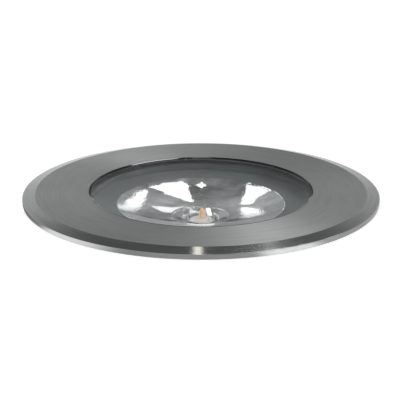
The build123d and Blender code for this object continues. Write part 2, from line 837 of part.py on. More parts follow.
# Ballast: a stack of steel sheets on two feet, with the coil bulging from both ends
coil_depth = tray_top - ballast_foot - ballast_height / 2
with BuildPart() as ballast_core:
    with BuildSketch(level(tray_top - ballast_foot)):
        with Locations((ballast_place, 0)):
            Rectangle(ballast_length, ballast_width)
    extrude(amount=ballast_height)
    fillet(ballast_core.edges().filter_by(Axis.Z), can_round)
    with BuildSketch(level(tray_top)):
        with Locations((ballast_place, 0)):
            with GridLocations(ballast_foot_spacing, 0, 2, 1):
                Rectangle(ballast_foot_length, ballast_width)
    extrude(amount=ballast_foot)
ballast_core.part.label = "ballast_core"

with BuildPart() as ballast_coils:
    for side in (-1, 1):
        coil_middle = (ballast_place, side * ballast_width / 2, up(coil_depth))
        with BuildSketch(Plane(origin=coil_middle, z_dir=(0, side, 0), x_dir=(1, 0, 0))):
            RectangleRounded(coil_length, coil_height, coil_round)
        extrude(amount=coil_bulge, taper=coil_taper)
ballast_coils.part.label = "ballast_coils"

with BuildPart() as capacitor:
    with BuildSketch(level(tray_top)):
        with Locations((can_place, can_place)):
            Circle(capacitor_radius)
    extrude(amount=capacitor_height)
    fillet(capacitor.edges().group_by(Axis.Z)[-1], can_round)
capacitor.part.label = "capacitor"

with BuildPart() as ignitor:
    with BuildSketch(level(tray_top)):
        with Locations((can_place, -can_place)):
            Circle(ignitor_radius)
    extrude(amount=ignitor_height)
    fillet(ignitor.edges().group_by(Axis.Z)[-1], can_round)
ignitor.part.label = "ignitor"

# Terminal block: a row of ways across the tray, each with a wire hole and a screw well
way_pitch = terminal_length / terminal_ways
with BuildPart() as terminal_block:
    with BuildSketch(level(tray_top)):
        with Locations((terminal_place, 0)):
            Rectangle(terminal_width, terminal_length)
    extrude(amount=terminal_height)
    chamfer(terminal_block.edges().group_by(Axis.Z)[-1].filter_by(Axis.Y), terminal_chamfer)
    with BuildSketch(Plane.YZ.offset(terminal_place - terminal_width / 2)):
        with Locations((0, up(tray_top - terminal_hole_height))):
            with GridLocations(way_pitch, 0, terminal_ways, 1):
                Circle(terminal_hole_radius)
    extrude(amount=terminal_width, mode=Mode.SUBTRACT)
    with BuildSketch(level(tray_top - terminal_height)):
        with Locations((terminal_place, 0)):
            with GridLocations(0, way_pitch, 1, terminal_ways):
                Circle(terminal_screw_radius + slide_gap)
    extrude(amount=-terminal_well, mode=Mode.SUBTRACT)
terminal_block.part.label = "terminal_block"

terminal_screw = slotted_screw(
    terminal_screw_radius, terminal_screw_height, terminal_screw_radius / 2, terminal_screw_height
)
terminal_screw_depth = tray_top - terminal_height + terminal_well - terminal_screw_height
with BuildPart(level(terminal_screw_depth)) as terminal_screws:
    with Locations((terminal_place, 0)):
        with GridLocations(0, way_pitch, 1, terminal_ways):
            add(terminal_screw)
terminal_screws.part.label = "terminal_screws"

# Two wires from the ignitor up to the underside of the lampholder
with BuildPart() as lamp_wires:
    for side in (-1, 1):
        wire_y = side * wire_spacing / 2
        wire_x = side * pin_spacing / 2
        with BuildLine() as wire_path:
            FilletPolyline(
                (can_place, wire_y - can_place, up(tray_top - ignitor_height)),
                (can_place, wire_y - can_place, up(wire_turn_depth)),
                (wire_x, 0, up(wire_turn_depth - wire_rise)),
                (wire_x, 0, up(holder_bottom)),
                radius=wire_bend,
            )
        with BuildSketch(level(tray_top - ignitor_height)):
            with Locations((can_place, wire_y - can_place)):
                Circle(wire_radius)
        sweep(path=wire_path.line)
lamp_wires.part.label = "lamp_wires"


# ---- Cable glands ----------------------------------------------------------------------------

gland_flange_bottom = housing_bottom + gland_flange
gland_collar_bottom = gland_flange_bottom + gland_collar
gland_nut_top = gland_flange_bottom + slide_gap
gland_thread_top = floor_top - locknut_height - thread_gap

with BuildPart() as gland_bodies:
    with BuildSketch(level(gland_thread_top)):
        with PolarLocations(gland_place, 2, start_angle=90):
            Circle(gland_thread_radius)
    extrude(amount=gland_thread_top - gland_collar_bottom)
    with BuildSketch(level(housing_bottom)):
        with PolarLocations(gland_place, 2, start_angle=90):
            RegularPolygon(gland_hex / 2, 6, major_radius=False)
    extrude(amount=-gland_flange)
    with BuildSketch(level(gland_thread_top)):
        with PolarLocations(gland_place, 2, start_angle=90):
            Circle(gland_bore)
    extrude(amount=gland_thread_top - gland_collar_bottom, mode=Mode.SUBTRACT)
    with BuildSketch(level(gland_collar_bottom)):
        with PolarLocations(gland_place, 2, start_angle=90):
            Circle(gland_seal_radius + thread_gap)
    extrude(amount=gland_collar, mode=Mode.SUBTRACT)
gland_bodies.part.label = "gland_bodies"

with BuildPart() as gland_locknuts:
    with BuildSketch(level(floor_top)):
        with PolarLocations(gland_place, 2, start_angle=90):
            RegularPolygon(gland_hex / 2, 6, major_radius=False)
            Circle(gland_thread_radius + thread_gap, mode=Mode.SUBTRACT)
    extrude(amount=locknut_height)
gland_locknuts.part.label = "gland_locknuts"

with BuildPart() as gland_seals:
    with BuildSketch(level(gland_flange_bottom)):
        with PolarLocations(gland_place, 2, start_angle=90):
            Circle(gland_seal_radius)
            Circle(gland_bore, mode=Mode.SUBTRACT)
    extrude(amount=-gland_collar)
gland_seals.part.label = "gland_seals"

with BuildPart() as gland_nuts:
    with BuildSketch(level(gland_nut_top)):
        with PolarLocations(gland_place, 2, start_angle=90):
            RegularPolygon(gland_hex / 2, 6, major_radius=False)
    extrude(amount=-gland_nut_length)
    chamfer(gland_nuts.edges().group_by(Axis.Z)[0], gland_nut_chamfer)
    with BuildSketch(level(gland_nut_top)):
        with PolarLocations(gland_place, 2, start_angle=90):
            Circle(gland_thread_radius + thread_gap)
    extrude(amount=gland_nut_top - gland_collar_bottom, mode=Mode.SUBTRACT)
    with BuildSketch(level(gland_nut_top)):
        with PolarLocations(gland_place, 2, start_angle=90):
            Circle(gland_bore)
    extrude(amount=-gland_nut_length, mode=Mode.SUBTRACT)
gland_nuts.part.label = "gland_nuts"


# ---- Ground sleeve ---------------------------------------------------------------------------

with BuildPart() as sleeve_rib:
    extrude(section(
        (sleeve_bottom_radius - sleeve_wall / 2, sleeve_bottom),
        (sleeve_bottom_radius + rib_reach, sleeve_bottom),
        (sleeve_radius + rib_reach, shoulder_bottom),
        (sleeve_radius - sleeve_wall / 2, shoulder_bottom),
    ), amount=rib_thickness / 2, both=True)

with BuildPart() as ground_sleeve:
    revolve(section(
        (sleeve_recess_radius, sleeve_top),
        (sleeve_flange_radius, sleeve_top),
        (sleeve_flange_radius, sleeve_top + sleeve_flange),
        (sleeve_neck_radius, sleeve_top + sleeve_flange),
        (sleeve_neck_radius, shoulder_bottom),
        (sleeve_radius, shoulder_bottom),
        (sleeve_bottom_radius, sleeve_bottom),
        (sleeve_bottom_radius - sleeve_wall, sleeve_bottom),
        (sleeve_inner_radius, shoulder_top),
        (sleeve_recess_radius, shoulder_top),
    ), axis=Axis.Z)
    with PolarLocations(0, rib_count, start_angle=180 / rib_count):
        add(sleeve_rib.part)
    # Ring that keys the sleeve into the concrete
    with BuildSketch(Plane.XY.offset(anchor_ring_height)):
        Circle(anchor_ring_radius)
        Circle(sleeve_bottom_radius, mode=Mode.SUBTRACT)
    extrude(amount=anchor_ring_thickness)
    # Conduit sockets on two opposite sides
    with BuildSketch(Plane.YZ.offset(-entry_reach)):
        with Locations((0, entry_height)):
            Circle(entry_radius)
    extrude(amount=2 * entry_reach)
    with BuildSketch(level(sleeve_bottom)):
        Circle(sleeve_bottom_radius - sleeve_wall)
    extrude(amount=entry_height + entry_radius, mode=Mode.SUBTRACT)
    with BuildSketch(Plane.YZ.offset(-entry_reach)):
        with Locations((0, entry_height)):
            Circle(entry_bore)
    extrude(amount=2 * entry_reach, mode=Mode.SUBTRACT)
    # Bosses and holes for the hold-down screws and the base screws
    with BuildSketch(level(shoulder_bottom)):
        with PolarLocations(hold_screw_circle, hold_screw_count, start_angle=hold_screw_turn):
            Circle(hold_boss_radius)
    extrude(amount=-hold_boss_height)
    with BuildSketch(level(sleeve_bottom)):
        with PolarLocations(base_screw_circle, base_screw_count, start_angle=base_screw_turn):
            Circle(base_boss_radius)
    extrude(amount=base_boss_height)
    with BuildSketch(level(shoulder_top)):
        with PolarLocations(hold_screw_circle, hold_screw_count, start_angle=hold_screw_turn):
            Circle(hold_screw_radius + slide_gap)
    extrude(amount=-shoulder_thickness - hold_boss_height + sleeve_wall, mode=Mode.SUBTRACT)
    with BuildSketch(level(sleeve_bottom)):
        with PolarLocations(base_screw_circle, base_screw_count, start_angle=base_screw_turn):
            Circle(base_screw_radius + thread_gap)
    extrude(amount=base_screw_length, mode=Mode.SUBTRACT)
ground_sleeve.part.label = "ground_sleeve"

with BuildPart() as entry_plug:
    with BuildSketch(Plane.YZ.offset(entry_reach)):
        with Locations((0, entry_height)):
            Circle(plug_flange_radius)
    extrude(amount=plug_flange)
    chamfer(entry_plug.edges().sort_by(Axis.X)[-1], plug_flange / 3)
    with BuildSketch(Plane.YZ.offset(entry_reach)):
        with Locations((0, entry_height)):
            Circle(entry_bore - thread_gap)
    extrude(amount=-plug_length)
entry_plug.part.label = "entry_plug"

with BuildPart() as sleeve_base:
    with BuildSketch():
        Circle(base_radius)
        with PolarLocations(anchor_circle / 2, lug_count, start_angle=180 / lug_count):
            Rectangle(anchor_circle, 2 * anchor_lug_radius)
        with PolarLocations(anchor_circle, lug_count, start_angle=180 / lug_count):
            Circle(anchor_lug_radius)
            Circle(anchor_hole, mode=Mode.SUBTRACT)
        Circle(drain_radius, mode=Mode.SUBTRACT)
        with PolarLocations(drain_slot_circle, drain_slot_count):
            SlotOverall(drain_slot_length, drain_slot_width, mode=Mode.SUBTRACT)
    extrude(amount=base_thickness)
    # Raised ring that centres the sleeve, clear of its screw bosses
    with BuildSketch(level(sleeve_bottom)):
        Circle(register_radius)
        Circle(register_radius - register_wall, mode=Mode.SUBTRACT)
    extrude(amount=register_height)
    with BuildSketch():
        with PolarLocations(base_screw_circle, base_screw_count, start_angle=base_screw_turn):
            Circle(base_screw_radius + slide_gap)
    extrude(amount=base_thickness, mode=Mode.SUBTRACT)
    with BuildSketch():
        with PolarLocations(base_screw_circle, base_screw_count, start_angle=base_screw_turn):
            Circle(base_screw_head + slide_gap)
    extrude(amount=base_screw_head_height + slide_gap, mode=Mode.SUBTRACT)
sleeve_base.part.label = "sleeve_base"

base_screw = slotted_screw(
    base_screw_head, base_screw_head_height, base_screw_radius, base_screw_length
)
with BuildPart(Plane.XY.offset(base_screw_head_height + slide_gap)) as base_screws:
    with PolarLocations(base_screw_circle, base_screw_count, start_angle=base_screw_turn):
        add(Rotation(180, 0, 0) * base_screw)
base_screws.part.label = "base_screws"


# ---- Output ----------------------------------------------------------------------------------

os.makedirs("parts", exist_ok=True)
for piece in (
    trim_ring, trim_seal, trim_clips,
    cover_glass, glass_seal, glass_frame, frame_washers, frame_screws,
    lamp_housing, housing_seal, hold_screws, optic_plate, plate_screws, reflector,
    lamp_envelope, lamp_burner, lamp_leads, lamp_base, lamp_pins,
    lampholder, holder_screws, holder_bridge, bridge_screws,
    gear_tray, tray_screws, ballast_core, ballast_coils, capacitor, ignitor,
    terminal_block, terminal_screws, lamp_wires,
    gland_bodies, gland_locknuts, gland_seals, gland_nuts,
    ground_sleeve, entry_plug, sleeve_base, base_screws,
):
    export_step(piece.part, f"parts/{piece.part.label}.step")
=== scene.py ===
import json
from math import atan2, cos, degrees, pi, radians, sin

import bpy
from mathutils import Matrix, Vector


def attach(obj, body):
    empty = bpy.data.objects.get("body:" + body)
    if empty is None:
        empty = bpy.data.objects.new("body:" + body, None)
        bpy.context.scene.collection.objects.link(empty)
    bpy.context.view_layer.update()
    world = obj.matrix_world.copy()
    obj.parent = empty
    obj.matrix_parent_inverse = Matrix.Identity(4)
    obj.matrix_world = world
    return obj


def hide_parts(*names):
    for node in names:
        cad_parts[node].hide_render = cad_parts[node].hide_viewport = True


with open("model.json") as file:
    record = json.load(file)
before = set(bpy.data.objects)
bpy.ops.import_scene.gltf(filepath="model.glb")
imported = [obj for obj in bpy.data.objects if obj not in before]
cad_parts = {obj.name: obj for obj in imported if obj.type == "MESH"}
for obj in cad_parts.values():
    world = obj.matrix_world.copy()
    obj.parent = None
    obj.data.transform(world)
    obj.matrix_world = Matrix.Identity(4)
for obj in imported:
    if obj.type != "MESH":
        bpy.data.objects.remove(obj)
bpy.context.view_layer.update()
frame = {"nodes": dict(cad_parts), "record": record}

# Sizes in metres, as in the CAD. Depths are measured down from the flat top of the trim ring.
RING_TOP = 0.285
RING_RADIUS = 0.130
BEVEL_RADIUS = 0.1206
OPENING_RADIUS = 0.0805
CHAMFER = 0.0012
RIM_DEPTH = 0.0058
GLASS_RADIUS, GLASS_CHAMFER = 0.0840, 0.0006
GLASS_TOP, GLASS_BOTTOM = 0.0020, 0.0140

# Outlines that meet the axis stop this far from it, and close_crown draws the hole together
CROWN_GAP = 0.0002

WHITE = (1.0, 1.0, 1.0)


def up(depth):
    """Height of a place at this depth below the ring's flat top."""
    return RING_TOP - depth


def sine(angle):
    return sin(radians(angle))


# ---- Shader helpers ------------------------------------------------------------------------------


class Wire:
    """A node's output; Python's operators on it add Math nodes."""

    def __init__(self, finish, socket):
        self.finish, self.socket = finish, socket

    def math(self, operation, *values):
        return self.finish.node("ShaderNodeMath", {"operation": operation}, dict(enumerate(values)))

    def __add__(self, other):
        return self.math("ADD", self, other)

    def __radd__(self, other):
        return self.math("ADD", other, self)

    def __sub__(self, other):
        return self.math("SUBTRACT", self, other)

    def __rsub__(self, other):
        return self.math("SUBTRACT", other, self)

    def __mul__(self, other):
        return self.math("MULTIPLY", self, other)

    def __rmul__(self, other):
        return self.math("MULTIPLY", other, self)

    def __truediv__(self, other):
        return self.math("DIVIDE", self, other)

    def __rtruediv__(self, other):
        return self.math("DIVIDE", other, self)

    def __pow__(self, other):
        return self.math("POWER", self, other)

    def __rpow__(self, other):
        return self.math("POWER", other, self)

    def __abs__(self):
        return self.math("ABSOLUTE", self)

    def most(self, other):
        return self.math("MAXIMUM", self, other)

    def over(self, limit):
        return self.math("GREATER_THAN", self, limit)

    def turned(self, other):
        """The angle in degrees whose sine is this and whose cosine is the other."""
        return self.math("ARCTAN2", self, other) * (180 / pi)

    def band(self, start, end, low=0.0, high=1.0):
        """Smoothly from low at start to high at end."""
        return self.finish.node(
            "ShaderNodeMapRange",
            {"interpolation_type": "SMOOTHSTEP", "clamp": True},
            {"Value": self, "From Min": start, "From Max": end, "To Min": low, "To Max": high},
        )

    def hump(self, rise_start, rise_end, fall_start, fall_end):
        """Smoothly from zero to one, and back to zero."""
        return self.band(rise_start, rise_end) * self.band(fall_start, fall_end, 1.0, 0.0)

    def mix(self, first, second):
        """The first value where this is zero, and the second where it is one."""
        return first * (1.0 - self) + second * self


# Places of the colour sockets on a Mix node, which has a set of sockets for each kind of value
MIX_FACTOR, MIX_FIRST, MIX_SECOND, MIX_RESULT = 0, 6, 7, 2


class Finish:
    """The nodes of a material or of the world."""

    def __init__(self, owner):
        """The owner is a world, or the name of a new material."""
        self.owner = bpy.data.materials.new(owner) if isinstance(owner, str) else owner
        self.owner.use_nodes = True
        self.tree = self.owner.node_tree
        self.made = {}

    def fill(self, node, values):
        """Sets a node's inputs to values, or links them to wires."""
        for name, value in values.items():
            socket = node.inputs[name]
            if isinstance(value, Wire):
                self.tree.links.new(value.socket, socket)
            elif socket.type == "RGBA":
                socket.default_value = (*value, 1.0)
            else:
                socket.default_value = value

    def node(self, kind, settings=None, values=None, output=0):
        """Adds a node, sets its settings, then its inputs to values or links."""
        made = self.tree.nodes.new(kind)
        for name, value in (settings or {}).items():
            setattr(made, name, value)
        self.fill(made, values or {})
        return Wire(self, made.outputs[output])

    def once(self, key, make):
        """Makes what this key stands for at its first use only."""
        if key not in self.made:
            self.made[key] = make()
        return self.made[key]

    def place(self):
        return self.once("place", lambda: self.node("ShaderNodeTexCoord", output="Object"))

    def axis(self, index):
        return self.once(
            ("axis", index),
            lambda: self.node("ShaderNodeSeparateXYZ", values={0: self.place()}, output=index),
        )

    def radius(self):
        """Distance from the light's axis."""
        x, y = self.axis(0), self.axis(1)
        return self.once("radius", lambda: (x * x + y * y) ** 0.5)

    def turning(self, across, around, height=0.0):
        """Coordinates that follow circles round the axis, for turned and brushed rings."""
        x, y, radius = self.axis(0), self.axis(1), self.radius()
        return self.node(
            "ShaderNodeCombineXYZ",
            values={
                0: x / radius * around,
                1: y / radius * around,
                2: radius * across + self.axis(2) * height,
            },
        )

    def noise(self, where, scale=1.0, detail=3.0, roughness=0.6):
        return self.node(
            "ShaderNodeTexNoise", {"noise_dimensions": "3D"},
            {"Vector": where, "Scale": scale, "Detail": detail, "Roughness": roughness},
        )

    def cells(self, where, scale):
        """Rounded cells of uneven shape."""
        return self.node(
            "ShaderNodeTexVoronoi", {"feature": "SMOOTH_F1"},
            {"Vector": where, "Scale": scale, "Randomness": 1.0},
        )

    def blend(self, factor, first, second):
        """A colour between two colours."""
        return self.node(
            "ShaderNodeMix", {"data_type": "RGBA"},
            {MIX_FACTOR: factor, MIX_FIRST: first, MIX_SECOND: second}, MIX_RESULT,
        )

    def bump(self, height, distance, **under):
        """A relief, which may lie on another one that is given as Normal."""
        values = {"Height": height, "Distance": distance, "Strength": 1.0, **under}
        return self.node("ShaderNodeBump", values=values)

    def surface(self, **values):
        """Sets the surface's own inputs, such as Base_Color or Roughness."""
        shader = self.tree.nodes["Principled BSDF"]
        self.fill(shader, {name.replace("_", " "): value for name, value in values.items()})
        return self.owner

    def let_through(self, share):
        """Makes this share of the surface transparent."""
        lit = Wire(self, self.tree.nodes["Principled BSDF"].outputs[0])
        clear = self.node("ShaderNodeBsdfTransparent")
        mixed = self.node("ShaderNodeMixShader", values={0: share, 1: lit, 2: clear})
        self.fill(self.tree.nodes["Material Output"], {"Surface": mixed})


# ---- Modelling helpers ---------------------------------------------------------------------------


def deselect():
    if bpy.context.object is not None and bpy.context.object.mode != "OBJECT":
        bpy.ops.object.mode_set(mode="OBJECT")
    bpy.ops.object.select_all(action="DESELECT")


def choose(*pieces):
    """Selects these pieces alone, with the first one active."""
    deselect()
    for piece in pieces:
        piece.select_set(True)
    bpy.context.view_layer.objects.active = pieces[0]


def apply_place():
    bpy.ops.object.transform_apply(location=True, rotation=True, scale=True)


def face_outward():
    """Turns every face of the mesh in edit mode outward, and ends edit mode."""
    bpy.ops.mesh.select_all(action="SELECT")
    bpy.ops.mesh.normals_make_consistent(inside=False)
    bpy.ops.object.mode_set(mode="OBJECT")


def circle(name, steps, radius, depth):
    """A circle round the axis, in edit mode with its edges selected."""
    deselect()
    bpy.ops.mesh.primitive_circle_add(vertices=steps, radius=radius, location=(0, 0, up(depth)))
    piece = bpy.context.object
    piece.name = piece.data.name = name
    apply_place()
    bpy.ops.object.mode_set(mode="EDIT")
    bpy.ops.mesh.select_mode(type="EDGE")
    bpy.ops.mesh.select_all(action="SELECT")
    return piece


def extrude_circle(radius, depth, next_radius, next_depth):
    """Extrudes the selected circle to the next radius and depth."""
    share = next_radius / radius
    bpy.ops.mesh.extrude_edges_move(
        TRANSFORM_OT_translate={"value": (0, 0, depth - next_depth), "orient_type": "GLOBAL"}
    )
    bpy.ops.transform.resize(value=(share, share, 1), center_override=(0, 0, up(next_depth)))


def turned_shape(name, steps, outline, closed=False):
    """A ring or a dish: a circle, extruded and resized from point to point of its outline.

    Each point of the outline is a radius and a depth."""
    piece = circle(name, steps, *outline[0])
    path = outline + ([outline[0]] if closed else [])
    for here, ahead in zip(path, path[1:]):
        extrude_circle(*here, *ahead)
    bpy.ops.mesh.select_all(action="SELECT")
    bpy.ops.mesh.remove_doubles(threshold=1e-6)
    face_outward()
    return piece


def smooth(piece, angle):
    choose(piece)
    bpy.ops.object.shade_smooth_by_angle(angle=radians(angle))


def apply_all(piece):
    choose(piece)
    for modifier in list(piece.modifiers):
        bpy.ops.object.modifier_apply(modifier=modifier.name)


def thicken(piece, thickness, offset):
    """Makes a sheet of the surface: behind it with offset -1, and half on each side with 0."""
    sheet = piece.modifiers.new("sheet", "SOLIDIFY")
    sheet.thickness, sheet.offset = thickness, offset


def dress(piece, material, body, slot, *nodes):
    piece.data.materials.clear()
    piece.data.materials.append(material)
    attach(piece, body)
    if nodes:
        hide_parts(*nodes)


def dress_faces(piece, material, wanted):
    """Gives the faces that are wanted a second material."""
    piece.data.materials.append(material)
    for face in piece.data.polygons:
        if wanted(face):
            face.material_index = 1


def joined(*pieces):
    """Makes the pieces one mesh, under the first one's name."""
    choose(*pieces)
    bpy.ops.object.join()
    apply_place()


def close_crown(piece):
    """Draws the small holes at the axis together to a point."""
    choose(piece)
    bpy.ops.object.mode_set(mode="EDIT")
    bpy.ops.mesh.select_mode(type="VERT")
    bpy.ops.mesh.select_all(action="DESELECT")
    bpy.ops.object.mode_set(mode="OBJECT")
    for point in piece.data.vertices:
        point.select = point.co.xy.length < CROWN_GAP * 1.25
    bpy.ops.object.mode_set(mode="EDIT")
    bpy.ops.mesh.remove_doubles(threshold=CROWN_GAP * 2.5)
    face_outward()


def ribbon(name, corners, thickness):
    """A flat strip with these four corners, each given by x, y and depth."""
    deselect()
    bpy.ops.mesh.primitive_plane_add(size=1)
    piece = bpy.context.object
    piece.name = piece.data.name = name
    order = (0, 1, 3, 2)
    for point, index in zip(piece.data.vertices, order):
        x, y, depth = corners[index]
        point.co = (x, y, up(depth))
    thicken(piece, thickness, 0.0)
    edge = piece.modifiers.new("edge", "BEVEL")
    edge.width, edge.segments = thickness / 4, 2
    apply_all(piece)
    return piece


def rod(name, start, end, radius):
    """A short round wire between two places, each given by x, y and depth."""
    deselect()
    first, last = (Vector((x, y, up(depth))) for x, y, depth in (start, end))
    bpy.ops.mesh.primitive_cylinder_add(vertices=16, radius=radius, depth=(last - first).length)
    piece = bpy.context.object
    piece.name = piece.data.name = name
    piece.rotation_mode = "QUATERNION"
    piece.rotation_quaternion = (last - first).to_track_quat("Z", "Y")
    piece.location = (first + last) / 2
    apply_place()
    return piece


def rounded(*points, radius=0.0004, turns=4):
    """The outline with each corner cut by a few short steps; a corner may give its own radius."""
    made = []
    count = len(points)
    for index, corner in enumerate(points):
        before, after = points[index - 1][:2], points[(index + 1) % count][:2]
        here = Vector(corner[:2])
        back, ahead = Vector(before) - here, Vector(after) - here
        own = corner[2] if len(corner) > 2 else radius
        cut = min(own, back.length / 2.1, ahead.length / 2.1)
        start, end = here + back.normalized() * cut, here + ahead.normalized() * cut
        for step in range(turns + 1):
            share = step / turns
            made.append(tuple((start * (1 - share) + here * share) * (1 - share)
                              + (here * (1 - share) + end * share) * share))
    return made


# ---- Finishes ------------------------------------------------------------------------------------

FLAT_ROUGHNESS, BEVEL_ROUGHNESS, LIP_ROUGHNESS = 0.38, 0.085, 0.07


def brushed_ring_finish():
    """Steel turned on a lathe: a brushed flat, a finer bevel and rim, and a lip painted near black
    as painted shade and dark reflection.
    """
    finish = Finish("brushed_ring")
    radius = finish.radius()
    fine = finish.noise(finish.turning(3600.0, 5.0))
    wide = finish.noise(finish.turning(560.0, 3.0))
    handled = finish.noise(finish.place(), 26.0, 3.0, 0.55)
    shade = fine * 0.45 + wide * 0.40 + handled * 0.15

    chamfer_end = OPENING_RADIUS + CHAMFER
    lip = 1.0 - radius.band(chamfer_end, chamfer_end + 0.0003)
    # Painted shade: the lip's chamfer and the flat's inner edge are painted near black, standing in
    # for the dark reflection round the opening and the shadow at its front; the dark band is a
    # little wider at the front
    front = (finish.axis(1) / radius).band(-0.2, -0.9)
    edge = 1.0 - (radius - front * 0.0009).band(chamfer_end + 0.0001, chamfer_end + 0.0004)
    bevelled = radius.band(BEVEL_RADIUS - 0.0002, BEVEL_RADIUS + 0.0002)
    # The rim's colour is lighter in patches
    lighter_rim = radius.band(RING_RADIUS - 0.0011, RING_RADIUS - 0.0004)

    colour = finish.blend(shade.band(0.35, 0.65), (0.345, 0.353, 0.355), (0.445, 0.452, 0.453))
    colour = finish.blend(lighter_rim * wide, colour, (0.50, 0.505, 0.505))
    # Painted shade and dark reflection: the lip's edge is painted near black
    colour = finish.blend(edge, colour, (0.065, 0.068, 0.070))
    flat_rough, bevel_rough = FLAT_ROUGHNESS - 0.05 + shade * 0.1, BEVEL_ROUGHNESS + wide * 0.03
    height = (fine + wide * 0.5) * (1.0 - lip) * (1.0 - bevelled * 0.6)
    return finish.surface(
        Base_Color=colour, Metallic=1.0, Anisotropic=0.75, Anisotropic_Rotation=0.25,
        Roughness=lip.mix(bevelled.mix(flat_rough, bevel_rough), LIP_ROUGHNESS),
        Normal=finish.bump(height, 0.000006),
    )


def plain_finish(name, colour, metallic, roughness, grain=900.0, relief=0.00003, **others):
    """A finish with a fine grain, a cloudier wear and no pattern of its own."""
    finish = Finish(name)
    small = finish.noise(finish.place(), grain)
    cloud = finish.noise(finish.place(), 45.0)
    dark, light = (tuple(c * change for c in colour) for change in (0.88, 1.12))
    shade = small * 0.4 + cloud * 0.6
    return finish.surface(
        Base_Color=finish.blend(shade.band(0.35, 0.65), dark, light),
        Metallic=metallic,
        Roughness=roughness + (shade - 0.5) * 0.25,
        Normal=finish.bump(small, relief),
        **others,
    )


def glass_finish(name, tint, index):
    """Clear glass with faint smears."""
    finish = Finish(name)
    smear = finish.noise(finish.place(), 30.0)
    return finish.surface(
        Base_Color=tint, Transmission_Weight=1.0, IOR=index,
        Roughness=smear.band(0.55, 0.8, 0.0, 0.012), Normal=finish.bump(smear, 0.000002),
    )


def ground_edge_finish():
    """The ground edge of the glass in its grey seal."""
    finish = Finish("ground_edge")
    grain = finish.noise(finish.turning(900.0, 60.0, 900.0))
    return finish.surface(
        Base_Color=finish.blend(grain, (0.152, 0.168, 0.173), (0.190, 0.207, 0.213)),
        Roughness=0.5 + grain * 0.1, Normal=finish.bump(grain, 0.00001),
    )


def reflector_finish():
    """Bright dipped sheet: small dimples, a slow ripple, and a duller cup and front strip."""
    finish = Finish("bright_aluminium")
    dimples = finish.cells(finish.place(), 620.0)
    ripple = finish.noise(finish.turning(700.0, 30.0), 1.0, 2.0, 0.5)
    slow = finish.noise(finish.place(), 70.0, 2.0, 0.5)
    cloud = finish.noise(finish.place(), 160.0)
    pressed = finish.noise(finish.place(), 190.0, 2.0, 0.55)
    cup = 1.0 - finish.radius().band(0.0206, 0.0222)
    front = finish.axis(1).band(-0.0130, -0.0200)
    waves = finish.bump(slow + cup * pressed * 6.0, 0.00006)
    return finish.surface(
        Base_Color=finish.blend(cloud.band(0.35, 0.65), (0.80, 0.81, 0.81), (0.88, 0.885, 0.885)),
        Metallic=1.0, Roughness=0.008 + cloud * 0.02 + front.most(cup * 0.5) * 0.32,
        Normal=finish.bump(dimples * 0.6 + ripple * 0.6, 0.000016, Normal=waves),
    )


def burner_finish():
    """Warm ceramic that gives off a little light, so that it is as pale as it looks in daylight."""
    finish = Finish("burner_ceramic")
    heat = finish.noise(finish.place(), 300.0, 2.0, 0.5)
    return finish.surface(
        Base_Color=finish.blend(heat, (0.78, 0.42, 0.19), (0.88, 0.55, 0.30)),
        Roughness=0.45 + heat * 0.1, Emission_Color=(1.0, 0.60, 0.36), Emission_Strength=0.44,
        Normal=finish.bump(heat, 0.00002),
    )


# Colour, metallic and roughness of each plain finish, and what else it has
PLAIN_FINISHES = {
    "stainless_fasteners": ((0.55, 0.55, 0.55), 1.0, 0.32),
    "spring_steel": ((0.50, 0.51, 0.53), 1.0, 0.30),
    "zinc_sheet": ((0.60, 0.62, 0.64), 1.0, 0.42, {"grain": 220.0}),
    "grey_paint": ((0.150, 0.166, 0.170), 0.0, 0.42, {"grain": 1400.0, "relief": 0.00002}),
    "cast_grey": ((0.19, 0.20, 0.205), 0.0, 0.55, {"grain": 1100.0, "relief": 0.00008}),
    "silicone": ((0.19, 0.20, 0.20), 0.0, 0.6),
    "black_rubber": ((0.022, 0.022, 0.024), 0.0, 0.6),
    # white_ceramic has a painted glow: it gives off a little light though the lamp is off, so the
    # pad, stays and cap under the glass look pale
    "white_ceramic": ((0.72, 0.71, 0.69), 0.0, 0.55,
                      {"Emission_Color": (1.0, 0.97, 0.93), "Emission_Strength": 0.26}),
    "nickel_wire": ((0.72, 0.71, 0.68), 1.0, 0.25),
    # bright_strip is a painted highlight: it gives off light, standing in for windows mirrored in
    # the lamp's glass and at the reflector's neck
    "bright_strip": ((0.85, 0.85, 0.84), 1.0, 0.30,
                     {"Emission_Color": (1.0, 1.0, 0.99), "Emission_Strength": 0.60}),
    "core_steel": ((0.10, 0.105, 0.11), 0.0, 0.45, {"grain": 500.0}),
    "coil_wrap": ((0.45, 0.22, 0.07), 0.0, 0.4, {"grain": 400.0}),
    "aluminium_can": ((0.68, 0.69, 0.70), 1.0, 0.3),
    "white_plastic": ((0.68, 0.68, 0.65), 0.0, 0.4),
    "wire_cover": ((0.55, 0.53, 0.49), 0.0, 0.5),
    "nickel_brass": ((0.60, 0.57, 0.50), 1.0, 0.28),
    "ground_plastic": ((0.040, 0.042, 0.045), 0.0, 0.5, {"grain": 800.0, "relief": 0.00006}),
}
FINISHES = {
    "brushed_ring": brushed_ring_finish(),
    "clear_glass": glass_finish("clear_glass", (0.965, 0.985, 0.985), 1.5),
    "lamp_glass": glass_finish("lamp_glass", (0.985, 0.99, 0.99), 1.12),
    "bright_aluminium": reflector_finish(),
    "burner_ceramic": burner_finish(),
}
for name, (colour, metallic, roughness, *others) in PLAIN_FINISHES.items():
    options = others[0] if others else {}
    FINISHES[name] = plain_finish(name, colour, metallic, roughness, **options)

for part in frame["record"]["subparts"]:
    node = frame["nodes"][part["node"]]
    node.data.materials.clear()
    node.data.materials.append(FINISHES[part["material_slot"]])


# ---- Trim ring -----------------------------------------------------------------------------------

